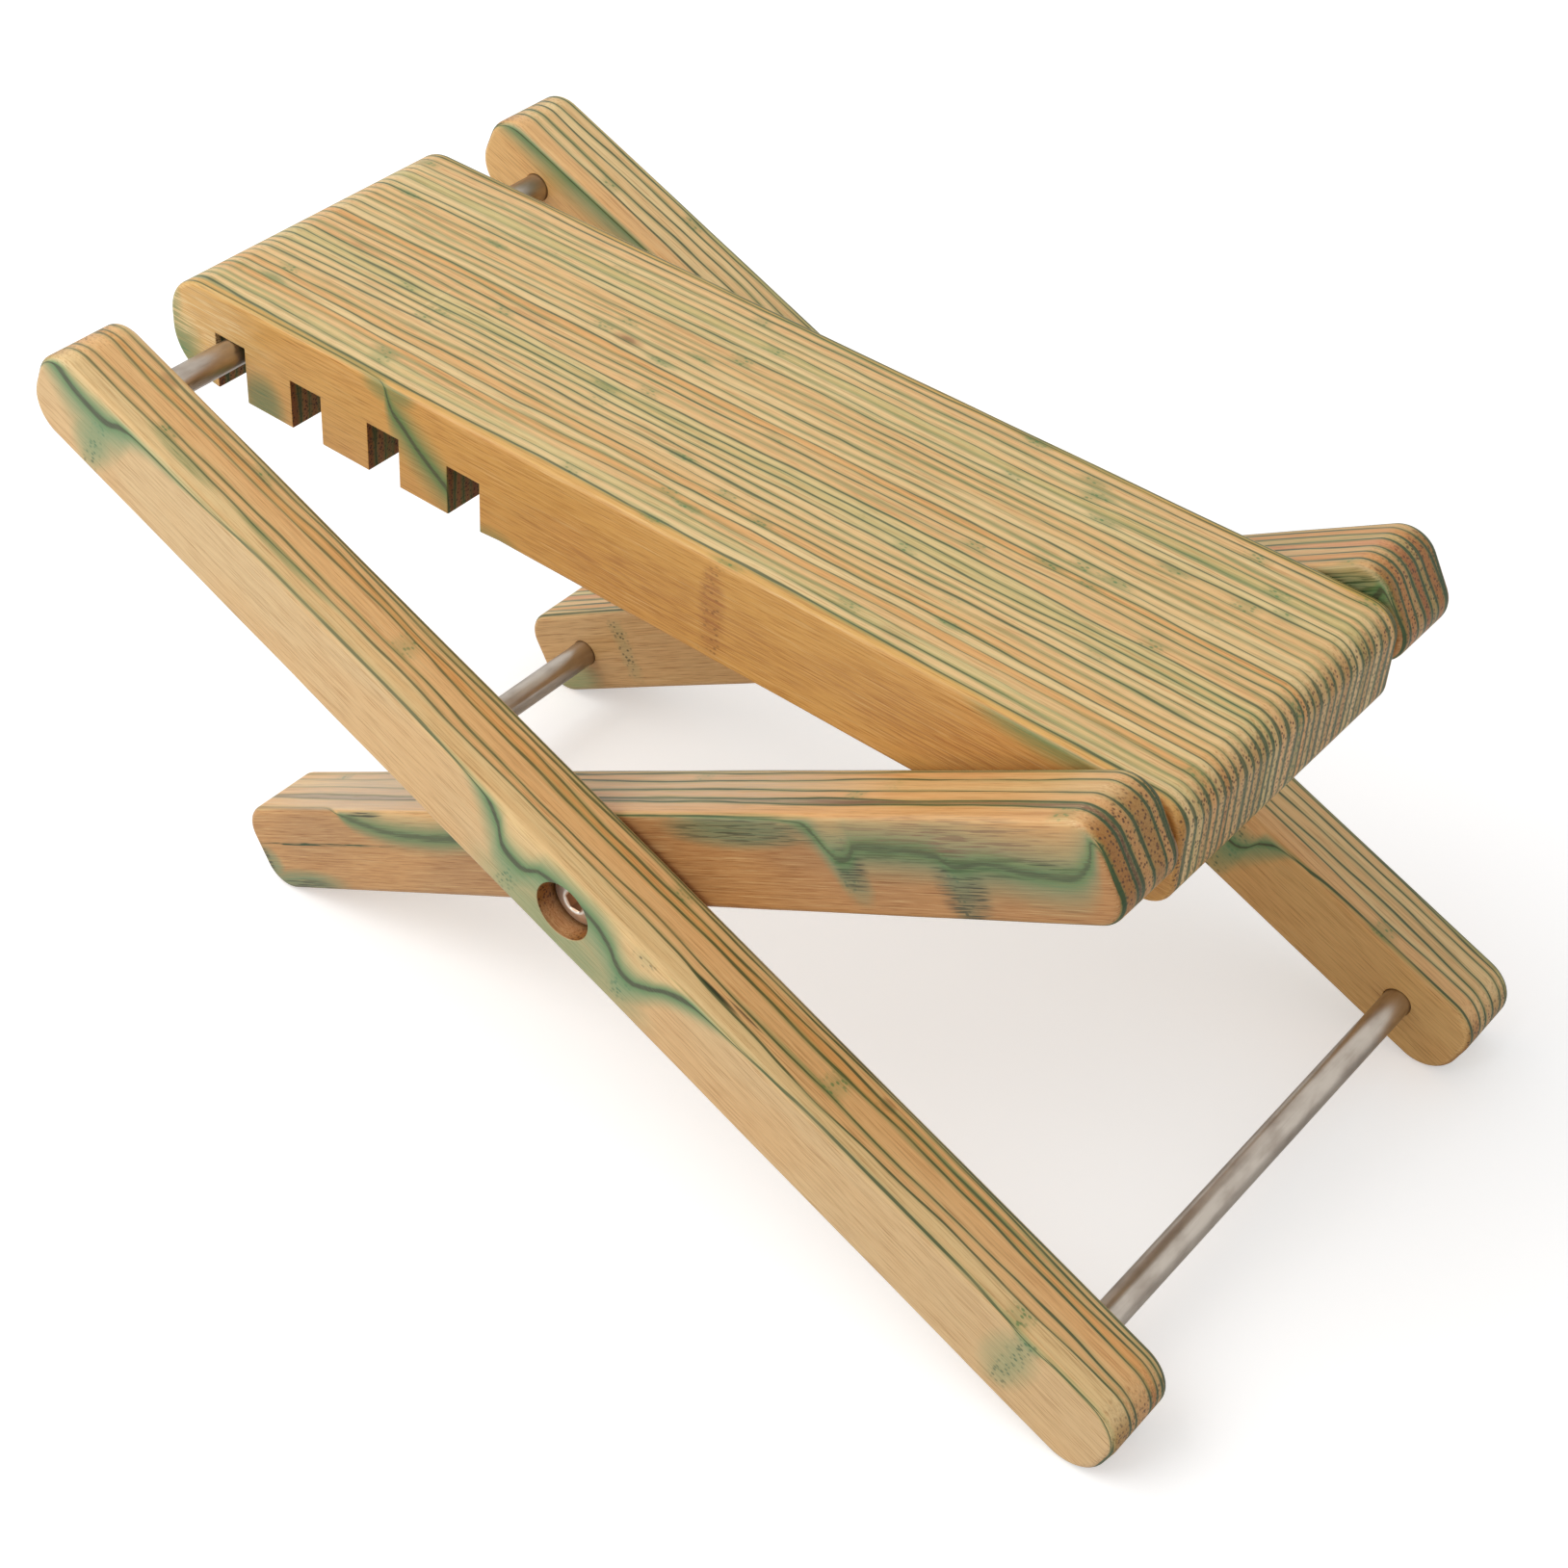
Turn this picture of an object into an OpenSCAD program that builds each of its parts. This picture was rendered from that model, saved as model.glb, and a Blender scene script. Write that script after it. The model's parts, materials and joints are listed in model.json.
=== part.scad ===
// Folding footrest: a laminated bamboo footplate on two pairs of crossed legs.
// The legs cross at a pair of bolts. The footplate is hinged between the inner legs' tops,
// and a rod between the outer legs' tops sits in one of the notches under its other end.
// +X runs from the notched end to the hinge end, +Y across the footrest, +Z up.
// The origin is on the floor under the middle of the footrest.

/* [Footplate] */
// Width of the footplate across the footrest
plate_w = 94; // [60:1:160]
// Thickness of the footplate
plate_t = 30; // [26:0.5:40]
// Length of the footplate past the middle of the outermost notch
nose_overhang = 22.9; // [19:0.1:45]
// Length of the footplate past the hinge axis
plate_rear = 23; // [16:0.5:24.5]
// Radius of the nose at the notched end
nose_r = 13; // [4:0.5:13]
// Radius of the nose at the hinge end
rear_r = 8; // [3:0.5:12]
// Rounding of the footplate's long edges
plate_edge_r = 1.5; // [0.5:0.1:3]

/* [Notches] */
// Number of height settings
notch_count = 4; // [1:1:6]
// Distance from one notch to the next
notch_pitch = 28; // [20:0.5:34]
// Width of each notch along the footplate
notch_w = 11; // [9.5:0.1:14]
// Depth of the notches
notch_depth = 15; // [10:0.1:16]
// Depth of the outermost notch, which holds the rod at the lowest setting
first_notch_depth = 17.3; // [12:0.1:18.5]

/* [Legs] */
// Width of every leg, seen from the side
leg_w = 26.5; // [24:0.5:32]
// Thickness of the outer legs across the footrest
outer_leg_t = 23; // [20:0.5:30]
// Thickness of the inner legs across the footrest
inner_leg_t = 23; // [20:0.5:30]
// Length of the outer legs above the pivot
outer_up = 194.6; // [180:0.2:240]
// Length of the outer legs below the pivot
outer_down = 179.6; // [165:0.2:225]
// Angle between the outer and the inner legs at the lowest height setting
leg_crossing = 52.7; // [40:0.1:65]
// Gap between the inner legs' upper ends and the outer foot rod when the legs lie flat
upper_fold_gap = 1.4; // [0.5:0.1:12]
// Gap between the inner legs' lower ends and the notch rod when the legs lie flat
lower_fold_gap = 8.9; // [0.5:0.1:20]
// Corner radius of the outer legs' ends
outer_end_r = 10.5; // [3:0.5:11.5]
// Corner radius of the inner legs' ends
inner_end_r = 8.5; // [3:0.5:11.5]
// Rounding of the legs' long edges
leg_edge_r = 2; // [0.5:0.1:4]

/* [Rods] */
// Diameter of the notch rod, the foot rods and the hinge rod
rod_d = 8; // [6:0.2:8.8]
// Distance from an outer leg's end to its rod
outer_rod_inset = 21.2; // [18:0.1:22]
// Distance from an inner leg's lower end to its foot rod
inner_rod_inset = 21.2; // [16:0.1:26]
// Distance from an inner leg's upper end to the hinge rod
hinge_inset = 24; // [21:0.5:26]
// Depth of the blind holes that hold the rods
rod_seat = 15; // [8:0.5:17]

/* [Pivot bolts] */
// Diameter of the bolt's shank
shank_d = 8; // [5:0.1:9]
// Diameter of the bolt's head
head_d = 15.2; // [12:0.1:15.8]
// Height of the head's straight rim
head_rim = 1; // [0.6:0.1:2]
// Height of the head's cone above its rim
head_cone = 1.6; // [0.8:0.1:2.5]
// Diameter of the flat on top of the head
head_flat_d = 7.8; // [6.6:0.1:11]
// Width across the flats of the hexagon socket
socket_af = 5; // [3:0.5:5.5]
// Depth of the hexagon socket
socket_depth = 3.5; // [1.5:0.5:5]
// Depth of the counterbore in the outer legs
counterbore_depth = 7; // [4:0.5:10]
// Outer diameter of the threaded inserts in the inner legs
insert_d = 12; // [11:0.5:16]
// Length of the threaded inserts
insert_len = 16; // [10:0.5:18]
// How far the bolt's end stays inside its insert's end
thread_spare = 1; // [0.5:0.5:6]

/* [Washers] */
// Thickness of the washers between the outer and the inner legs
leg_washer_t = 0.8; // [0.5:0.1:3]
// Outer diameter of the washers between the legs
leg_washer_d = 18; // [13:0.5:24]
// Thickness of the washers between the footplate and the inner legs
hinge_washer_t = 0.8; // [0.5:0.1:3]
// Outer diameter of the hinge washers
hinge_washer_d = 16; // [13:0.5:24]

/* [Fits] */
// Gap on each side of a washer
side_play = 0.1; // [0.05:0.05:0.3]
// Radial clearance where a shank or the hinge rod turns in wood
turn_play = 0.08; // [0.02:0.01:0.1]
// Radial clearance of the rods in their blind holes and of the inserts in the legs
glue_play = 0.03; // [0.01:0.01:0.1]
// Radial clearance of the washers on their rod or shank
washer_play = 0.1; // [0.05:0.05:0.3]
// Radial clearance of the bolts' heads in their counterbores
head_play = 0.6; // [0.3:0.1:1.2]
// Gap between the notch rod and the roof of its notch
rest_play = 0.05; // [0.02:0.01:0.1]
// How much deeper a blind hole is than what it holds
end_play = 0.2; // [0.1:0.1:1]

/* [Hidden] */
$fn = 64;

bamboo = "burlywood";
steel = "rosybrown";
bright_steel = "gainsboro";

rod_r = rod_d / 2;
cut = 1;

// Places across the footrest, counted from its middle
inner_leg_in = plate_w / 2 + hinge_washer_t + 2 * side_play;
inner_leg_out = inner_leg_in + inner_leg_t;
outer_leg_in = inner_leg_out + leg_washer_t + 2 * side_play;
outer_leg_out = outer_leg_in + outer_leg_t;
head_seat = outer_leg_out - counterbore_depth;
counterbore_r = head_d / 2 + head_play;
thread_len = insert_len - thread_spare;

// Places along the legs, counted from the pivot. Folded flat, the inner legs fit between
// the outer legs' two rods
notch_rod_arm = outer_up - outer_rod_inset;
outer_foot_arm = outer_down - outer_rod_inset;
inner_up = outer_foot_arm - rod_r - upper_fold_gap;
inner_down = notch_rod_arm - rod_r - lower_fold_gap;
hinge_arm = inner_up - hinge_inset;
inner_foot_arm = inner_down - inner_rod_inset;

// The open legs set how far the notch rod is from the hinge axis, and so the footplate's length
hinge_to_rod = sqrt(hinge_arm ^ 2 + notch_rod_arm ^ 2
                    + 2 * hinge_arm * notch_rod_arm * cos(leg_crossing));
rod_drop = plate_t / 2 - first_notch_depth + rod_r + rest_play;
notch_reach = sqrt(hinge_to_rod ^ 2 - rod_drop ^ 2);
plate_front = notch_reach + nose_overhang;

// Both pairs of legs touch the floor, which sets how steeply each pair stands
outer_reach = outer_down - outer_end_r;
outer_flank = leg_w / 2 - outer_end_r;
inner_reach = inner_down - inner_end_r;
inner_flank = leg_w / 2 - inner_end_r;
sin_part = outer_reach + inner_reach * cos(leg_crossing) - inner_flank * sin(leg_crossing);
cos_part = outer_flank - inner_reach * sin(leg_crossing) - inner_flank * cos(leg_crossing);
outer_slope = asin((inner_end_r - outer_end_r) / norm([sin_part, cos_part]))
              - atan2(cos_part, sin_part);
inner_slope = leg_crossing - outer_slope;
pivot_height = outer_reach * sin(outer_slope) + outer_flank * cos(outer_slope) + outer_end_r;

// The footplate lies from the hinge to the notch rod
hinge_at = [hinge_arm * cos(inner_slope), hinge_arm * sin(inner_slope)];
notch_rod_at = [-notch_rod_arm * cos(outer_slope), notch_rod_arm * sin(outer_slope)];
plate_slope = atan2(notch_rod_at.y - hinge_at.y, hinge_at.x - notch_rod_at.x)
              + asin(rod_drop / hinge_to_rod);

// How far the footrest reaches on each side of the pivot, to centre it on the origin
left_reach = max(
    (outer_up - outer_end_r) * cos(outer_slope) + outer_flank * sin(outer_slope) + outer_end_r,
    (plate_front - nose_r) * cos(plate_slope) + (plate_t / 2 - nose_r) * abs(sin(plate_slope))
        + nose_r - hinge_at.x,
    inner_reach * cos(inner_slope) + inner_flank * sin(inner_slope) + inner_end_r);
right_reach = max(
    outer_reach * cos(outer_slope) + outer_flank * sin(outer_slope) + outer_end_r,
    hinge_at.x + (plate_rear - rear_r) * cos(plate_slope)
        + (plate_t / 2 - rear_r) * abs(sin(plate_slope)) + rear_r,
    (inner_up - inner_end_r) * cos(inner_slope) + inner_flank * sin(inner_slope) + inner_end_r);
pivot_x = (left_reach - right_reach) / 2;

echo(outer_slope = outer_slope, inner_slope = inner_slope, plate_slope = plate_slope,
     pivot_x = pivot_x, pivot_height = pivot_height, hinge_at = hinge_at,
     notch_rod_at = notch_rod_at, notch_reach = notch_reach,
     length = left_reach + right_reach, width = 2 * outer_leg_out);

// A rectangle from x0 to x1 and y0 to y1 with its own corner radius at each end
module round_end_outline(x0, x1, y0, y1, r0, r1) {
    translate([x0 + r0, y0]) square([x1 - r1 - x0 - r0, y1 - y0]);
    translate([x0, y0 + r0]) square([r0, y1 - y0 - 2 * r0]);
    translate([x1 - r1, y0 + r1]) square([r1, y1 - y0 - 2 * r1]);
    for (y = [y0 + r0, y1 - r0]) translate([x0 + r0, y]) circle(r = r0);
    for (y = [y0 + r1, y1 - r1]) translate([x1 - r1, y]) circle(r = r1);
}

// A board along X whose ends are round from the side and whose long edges are softened
module soft_board(x0, x1, y0, y1, half_h, r0, r1, edge_r) {
    intersection() {
        translate([0, y1, 0]) rotate([90, 0, 0]) linear_extrude(y1 - y0)
            round_end_outline(x0, x1, -half_h, half_h, r0, r1);
        translate([x0, 0, 0]) rotate([90, 0, 90]) linear_extrude(x1 - x0)
            round_end_outline(y0, y1, -half_h, half_h, edge_r, edge_r);
        translate([0, 0, -half_h]) linear_extrude(2 * half_h)
            round_end_outline(x0, x1, y0, y1, edge_r, edge_r);
    }
}

// A cylinder along +Y from y0 to y1
module across(r, y0, y1) {
    translate([0, y0, 0]) rotate([-90, 0, 0]) cylinder(r = r, h = y1 - y0);
}

// A ring along +Y from y0 to y1
module ring_across(outer_r, inner_r, y0, y1) {
    difference() {
        across(outer_r, y0, y1);
        across(inner_r, y0 - cut, y1 + cut);
    }
}

// Frames that carry their children from the pivot or the hinge to their place
module at_pivot() translate([pivot_x, 0, pivot_height]) children();
module at_outer_legs() at_pivot() rotate([0, outer_slope, 0]) children();
module at_inner_legs() at_pivot() rotate([0, -inner_slope, 0]) children();
module at_footplate() at_pivot() translate([hinge_at.x, 0, hinge_at.y])
    rotate([0, plate_slope, 0]) children();
module near_side() mirror([0, 1, 0]) children();

module footplate() color(bamboo) at_footplate() difference() {
    soft_board(-plate_front, plate_rear, -plate_w / 2, plate_w / 2, plate_t / 2,
               nose_r, rear_r, plate_edge_r);
    for (i = [0 : notch_count - 1]) {
        depth = i == 0 ? first_notch_depth : notch_depth;
        translate([i * notch_pitch - notch_reach - notch_w / 2, -plate_w / 2 - cut,
                   -plate_t / 2 - cut])
            cube([notch_w, plate_w + 2 * cut, depth + cut]);
    }
    across(rod_r + turn_play, -plate_w / 2 - cut, plate_w / 2 + cut);
}

// A blind hole for a rod, entered from the inner face of a leg
module rod_socket(leg_in) across(rod_r + glue_play, leg_in - cut, leg_in + rod_seat + end_play);

// An outer leg on the far side, with the notch rod at its top and the pivot at its origin
module outer_leg() color(bamboo) at_outer_legs() difference() {
    soft_board(-outer_up, outer_down, outer_leg_in, outer_leg_out, leg_w / 2,
               outer_end_r, outer_end_r, leg_edge_r);
    across(shank_d / 2 + turn_play, outer_leg_in - cut, outer_leg_out);
    across(counterbore_r, head_seat, outer_leg_out + cut);
    translate([-notch_rod_arm, 0, 0]) rod_socket(outer_leg_in);
    translate([outer_foot_arm, 0, 0]) rod_socket(outer_leg_in);
}

// An inner leg on the far side, with the hinge rod at its top and the pivot at its origin
module inner_leg() color(bamboo) at_inner_legs() difference() {
    soft_board(-inner_down, inner_up, inner_leg_in, inner_leg_out, leg_w / 2,
               inner_end_r, inner_end_r, leg_edge_r);
    across(insert_d / 2 + glue_play, inner_leg_out - insert_len - end_play, inner_leg_out + cut);
    translate([hinge_arm, 0, 0]) rod_socket(inner_leg_in);
    translate([-inner_foot_arm, 0, 0]) rod_socket(inner_leg_in);
}

// A rod whose ends sit in the blind holes of a pair of legs
module rod(leg_in) color(steel) across(rod_r, -leg_in - rod_seat, leg_in + rod_seat);

module notch_rod() at_outer_legs() translate([-notch_rod_arm, 0, 0]) rod(outer_leg_in);
module outer_foot_rod() at_outer_legs() translate([outer_foot_arm, 0, 0]) rod(outer_leg_in);
module inner_foot_rod() at_inner_legs() translate([-inner_foot_arm, 0, 0]) rod(inner_leg_in);
module hinge_rod() at_inner_legs() translate([hinge_arm, 0, 0]) rod(inner_leg_in);

// A pivot bolt on the far side, turned with the inner legs that it is screwed into
module pivot_bolt() color(bright_steel) at_inner_legs() {
    head_base = head_seat + side_play;
    head_top = head_base + head_rim + head_cone;
    difference() {
        union() {
            across(shank_d / 2, inner_leg_out - thread_len, head_base + head_rim / 2);
            across(head_d / 2, head_base, head_base + head_rim);
            translate([0, head_base + head_rim, 0]) rotate([-90, 0, 0])
                cylinder(r1 = head_d / 2, r2 = head_flat_d / 2, h = head_cone);
        }
        translate([0, head_top - socket_depth, 0]) rotate([-90, 0, 0])
            cylinder(r = socket_af / 2 / cos(30), h = socket_depth + cut, $fn = 6);
    }
}

// A threaded insert on the far side, flush with the inner leg's outer face
module threaded_insert() color(steel) at_inner_legs()
    ring_across(insert_d / 2, shank_d / 2 + glue_play, inner_leg_out - insert_len, inner_leg_out);

// A washer on the far side between the legs
module leg_washer() color(steel) at_inner_legs()
    ring_across(leg_washer_d / 2, shank_d / 2 + washer_play,
                inner_leg_out + side_play, inner_leg_out + side_play + leg_washer_t);

// A washer on the far side between the footplate and the inner leg
module hinge_washer() color(steel) at_inner_legs() translate([hinge_arm, 0, 0])
    ring_across(hinge_washer_d / 2, rod_r + washer_play,
                plate_w / 2 + side_play, plate_w / 2 + side_play + hinge_washer_t);

footplate();
near_side() outer_leg();  // outer_leg_near
outer_leg();  // outer_leg_far
near_side() inner_leg();  // inner_leg_near
inner_leg();  // inner_leg_far
notch_rod();
outer_foot_rod();
inner_foot_rod();
hinge_rod();
near_side() pivot_bolt();  // pivot_bolt_near
pivot_bolt();  // pivot_bolt_far
near_side() threaded_insert();  // threaded_insert_near
threaded_insert();  // threaded_insert_far
near_side() leg_washer();  // leg_washer_near
leg_washer();  // leg_washer_far
near_side() hinge_washer();  // hinge_washer_near
hinge_washer();  // hinge_washer_far
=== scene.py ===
import json
import math

import bmesh
import bpy
from mathutils import Matrix, Vector, noise
from mathutils.geometry import delaunay_2d_cdt


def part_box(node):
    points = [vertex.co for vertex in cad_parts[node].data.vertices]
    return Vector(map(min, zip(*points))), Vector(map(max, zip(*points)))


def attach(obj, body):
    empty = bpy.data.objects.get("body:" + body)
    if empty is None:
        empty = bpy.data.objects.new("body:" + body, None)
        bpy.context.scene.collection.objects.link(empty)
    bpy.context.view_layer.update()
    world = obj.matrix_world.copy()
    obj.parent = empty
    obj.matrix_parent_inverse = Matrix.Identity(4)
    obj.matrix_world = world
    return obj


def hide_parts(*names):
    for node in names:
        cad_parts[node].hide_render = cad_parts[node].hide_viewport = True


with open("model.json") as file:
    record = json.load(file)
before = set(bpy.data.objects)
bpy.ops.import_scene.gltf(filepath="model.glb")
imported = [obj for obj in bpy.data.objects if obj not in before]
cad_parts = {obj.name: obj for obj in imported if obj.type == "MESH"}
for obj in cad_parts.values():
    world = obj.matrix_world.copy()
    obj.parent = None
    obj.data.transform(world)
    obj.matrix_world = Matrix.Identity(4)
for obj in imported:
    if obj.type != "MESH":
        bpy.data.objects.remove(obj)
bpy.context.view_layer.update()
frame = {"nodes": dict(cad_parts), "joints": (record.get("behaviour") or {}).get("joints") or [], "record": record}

# A folding footrest of laminated bamboo. The five boards and the two bolts are finer meshes over
# the frame's solids, and the rods, inserts and washers are the frame's own with a steel finish.
# Lengths are millimetres until a vertex or an object is made.
MM = 0.001

# Camera, from the photograph's vanishing lines, with its place in metres
CAMERA_PLACE = (0.36546, -0.46613, 0.55353)
CAMERA_AZIMUTH = 39.55
CAMERA_ELEVATION = 37.705
CAMERA_SENSOR = 36
CAMERA_LENS = 66.16
CAMERA_SHIFT = (0.0367, -0.07)

# Shapes of the boards, as in the frame's solids
PLATE_NOSE_R = 13
PLATE_REAR_R = 8
PLATE_SOFT = 1.5
OUTER_END_R = 10.5
INNER_END_R = 8.5
LEG_SOFT = 2
SAWN_SOFT = 0.3
NOTCH_COUNT = 4
NOTCH_PITCH = 28
NOTCH_W = 11
NOTCH_DEPTH = 15
FIRST_NOTCH_DEPTH = 17.3
ROD_R = 4
GLUE_PLAY = 0.03
TURN_PLAY = 0.08
ROD_HOLE_DEPTH = 15.2
COUNTERBORE_R = 8.2
COUNTERBORE_DEPTH = 7
COUNTERBORE_SOFT = 0.15
INSERT_R = 6
INSERT_HOLE_DEPTH = 16.2
HOLE_SOFT = 0.3

# Shapes of the bolts, as in the frame's solids apart from their soft edges. SOCKET_R is half the
# width across the socket's flats, and SOCKET_MOUTH_R where its soft mouth meets the head's top.
SOCKET_R = 2.5
SOCKET_DEPTH = 3.5
SOCKET_MOUTH_R = 3.2
HEAD_FLAT_R = 3.9
HEAD_R = 7.6
HEAD_CONE = 1.6
HEAD_RIM = 1
HEAD_HEIGHT = HEAD_CONE + HEAD_RIM
SHANK_R = 4
SHANK_SOFT = 0.5

# Fineness of the meshes
ARC_STEPS = 16
RIM_STEPS = 7
BORE_STEPS = 64
BOLT_STEPS = 96
EDGE_STEP = 6
SHARP_ANGLE = 32

# How much the radius of a sanded rim wavers, and over which length
WAVER = 0.14
WAVER_LENGTH = 24

# Floor, light and background, with lengths in metres
FLOOR_SIZE = 8
FLOOR_SINK = 0.0003
FLOOR_GREY = (0.86, 0.86, 0.86, 1)
FLOOR_GLOW = 0.42
HORIZON_GLOW = 0.3
HORIZON = (0.6, 1.8)
WHITE = (1, 1, 1, 1)
AMBIENT = 0.55
KEY_PLACE = (-0.8, -0.9, 1.3)
KEY_SIZE = 1.7
KEY_POWER = 18.5
LIT_POINT = Vector((0, 0, 0.08))


def middle(node):
    """The middle of a frame node's box."""
    low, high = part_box(node)
    return (low + high) / 2


def board_place(origin, along):
    """The frame of a board: its origin, with +X turned down or up to run along the given way."""
    return Matrix.Translation(origin) @ Matrix.Rotation(math.atan2(-along.z, along.x), 4, "Y")


def extents(node, place):
    """The lowest and highest corners of a frame node in a board's own frame, in millimetres."""
    inverse = place.inverted()
    points = [inverse @ vertex.co for vertex in frame["nodes"][node].data.vertices]
    low = [min(point[axis] for point in points) / MM for axis in range(3)]
    high = [max(point[axis] for point in points) / MM for axis in range(3)]
    return low, high


joints = {joint["name"]: joint for joint in frame["joints"]}
pivot = Vector(joints["scissor_pivot"]["pos_m"])
hinge = Vector(joints["footplate_hinge"]["pos_m"])
plate_up = Vector(frame["record"]["mounts"][0]["axis"])
outer_place = board_place(pivot, middle("outer_foot_rod") - pivot)
inner_place = board_place(pivot, hinge - pivot)
plate_place = board_place(hinge, Vector((plate_up.z, 0, -plate_up.x)))


# Outlines, seen from the near side

def arc(centre_x, centre_z, radius, first_angle):
    """A quarter circle that runs anticlockwise from an angle in degrees."""
    points = []
    for step in range(ARC_STEPS + 1):
        angle = math.radians(first_angle + 90 * step / ARC_STEPS)
        points.append((centre_x + radius * math.cos(angle), centre_z + radius * math.sin(angle)))
    return points


def bar_outline(low, high, left_r, right_r):
    """A bar whose ends have rounded corners, anticlockwise from its lower right corner."""
    return (arc(high[0] - right_r, low[2] + right_r, right_r, 270)
            + arc(high[0] - right_r, high[2] - right_r, right_r, 0)
            + arc(low[0] + left_r, high[2] - left_r, left_r, 90)
            + arc(low[0] + left_r, low[2] + left_r, left_r, 180))


def notched_outline(low, high, first_x):
    """The footplate's outline: a bar with notches cut up into its underside."""
    points = bar_outline(low, high, PLATE_NOSE_R, PLATE_REAR_R)
    floor = low[2]
    for index in range(NOTCH_COUNT):
        left = first_x + index * NOTCH_PITCH - NOTCH_W / 2
        right = left + NOTCH_W
        roof = floor + (FIRST_NOTCH_DEPTH if index == 0 else NOTCH_DEPTH)
        points += [(left - SAWN_SOFT, floor), (left, floor + SAWN_SOFT), (left, roof),
                   (right, roof), (right, floor + SAWN_SOFT), (right + SAWN_SOFT, floor)]
    return points


def divided(points):
    """The outline with its long stretches cut into steps, so that a soft edge can waver."""
    result = []
    for (x0, z0), (x1, z1) in zip(points, points[1:] + points[:1]):
        steps = max(1, round(math.hypot(x1 - x0, z1 - z0) / EDGE_STEP))
        result += [(x0 + (x1 - x0) * step / steps, z0 + (z1 - z0) * step / steps)
                   for step in range(steps)]
    return result


def inward(points):
    """For each point of an anticlockwise outline, how it moves when the outline shrinks by 1."""
    moves = []
    for before, here, after in zip(points[-1:] + points[:-1], points, points[1:] + points[:1]):
        normals = []
        for (x0, z0), (x1, z1) in ((before, here), (here, after)):
            length = math.hypot(x1 - x0, z1 - z0)
            normals.append(((z0 - z1) / length, (x1 - x0) / length))
        (ax, az), (bx, bz) = normals
        spread = 1 + ax * bx + az * bz
        moves.append(((ax + bx) / spread, (az + bz) / spread))
    return moves


# Meshes

def loop_faces(mesh, first, second):
    """Joins two rings of vertices by a band of quads."""
    for index in range(len(first)):
        after = (index + 1) % len(first)
        mesh.faces.new((first[index], first[after], second[after], second[index]))


def cap(mesh, place, outer, holes):
    """Fills a flat face between its outer ring and the rings of its holes."""
    rings = [outer] + [ring for _, _, ring in holes]
    vertices = [vertex for ring in rings for vertex in ring]
    flat = [place.inverted() @ vertex.co / MM for vertex in vertices]
    edges = []
    for ring in rings:
        start = len(edges)
        edges += [(start + index, start + (index + 1) % len(ring)) for index in range(len(ring))]
    found = delaunay_2d_cdt([Vector((point.x, point.z)) for point in flat], edges, [], 1, 0.0001)
    for face in found[2]:
        corners = [found[3][index][0] for index in face]
        x = sum(flat[corner].x for corner in corners) / 3
        z = sum(flat[corner].z for corner in corners) / 3
        if all(math.hypot(x - at_x, z - at_z) > radius for (at_x, at_z), radius, _ in holes):
            mesh.faces.new([vertices[corner] for corner in corners])


def placed(name, data):
    """A new object in the scene."""
    made = bpy.data.objects.new(name, data)
    bpy.context.scene.collection.objects.link(made)
    return made


def finished(name, mesh, node, body, material):
    """Makes a piece of a mesh, in place of the frame's node."""
    bmesh.ops.recalc_face_normals(mesh, faces=mesh.faces)
    data = bpy.data.meshes.new(name)
    mesh.to_mesh(data)
    mesh.free()
    data.materials.append(material)
    data.shade_smooth()
    data.set_sharp_from_angle(angle=math.radians(SHARP_ANGLE))
    piece = placed(name, data)
    weighted = piece.modifiers.new("even shading", "WEIGHTED_NORMAL")
    weighted.keep_sharp = True
    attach(piece, body)
    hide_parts(node)


def board(name, node, body, place, outline, soft, bores, material):
    """One board: an outline across the footrest with soft rims, bored where the frame is."""
    low, high = extents(node, place)
    points = divided(outline)
    moves = inward(points)
    softs = [soft(x, z) for x, z in points]
    mesh = bmesh.new()

    def vertex(x, y, z):
        return mesh.verts.new(place @ (Vector((x, y, z)) * MM))

    def rim(face, outward, turn):
        made = []
        for (x, z), (move_x, move_z), radius in zip(points, moves, softs):
            inset = radius * (1 - math.cos(turn))
            y = face - outward * radius * (1 - math.sin(turn))
            made.append(vertex(x + inset * move_x, y, z + inset * move_z))
        return made

    def circle(x, z, radius, y):
        angles = [2 * math.pi * step / BORE_STEPS for step in range(BORE_STEPS)]
        return [vertex(x + radius * math.cos(angle), y, z + radius * math.sin(angle))
                for angle in angles]

    turns = [math.pi / 2 * step / RIM_STEPS for step in range(RIM_STEPS + 1)]
    rings = [rim(low[1], -1, turn) for turn in reversed(turns)]
    rings += [rim(high[1], 1, turn) for turn in turns]
    for first, second in zip(rings, rings[1:]):
        loop_faces(mesh, first, second)

    holes = {low[1]: [], high[1]: []}
    for centre, stations in bores(low, high):
        circles = [circle(*centre, radius, y) for radius, y in stations]
        for first, second in zip(circles, circles[1:]):
            loop_faces(mesh, first, second)
        holes[stations[0][1]].append((centre, stations[0][0], circles[0]))
        if stations[-1][1] in holes:
            holes[stations[-1][1]].append((centre, stations[-1][0], circles[-1]))
        else:
            mesh.faces.new(circles[-1])
    cap(mesh, place, rings[0], holes[low[1]])
    cap(mesh, place, rings[-1], holes[high[1]])
    finished(name, mesh, node, body, material)


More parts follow.
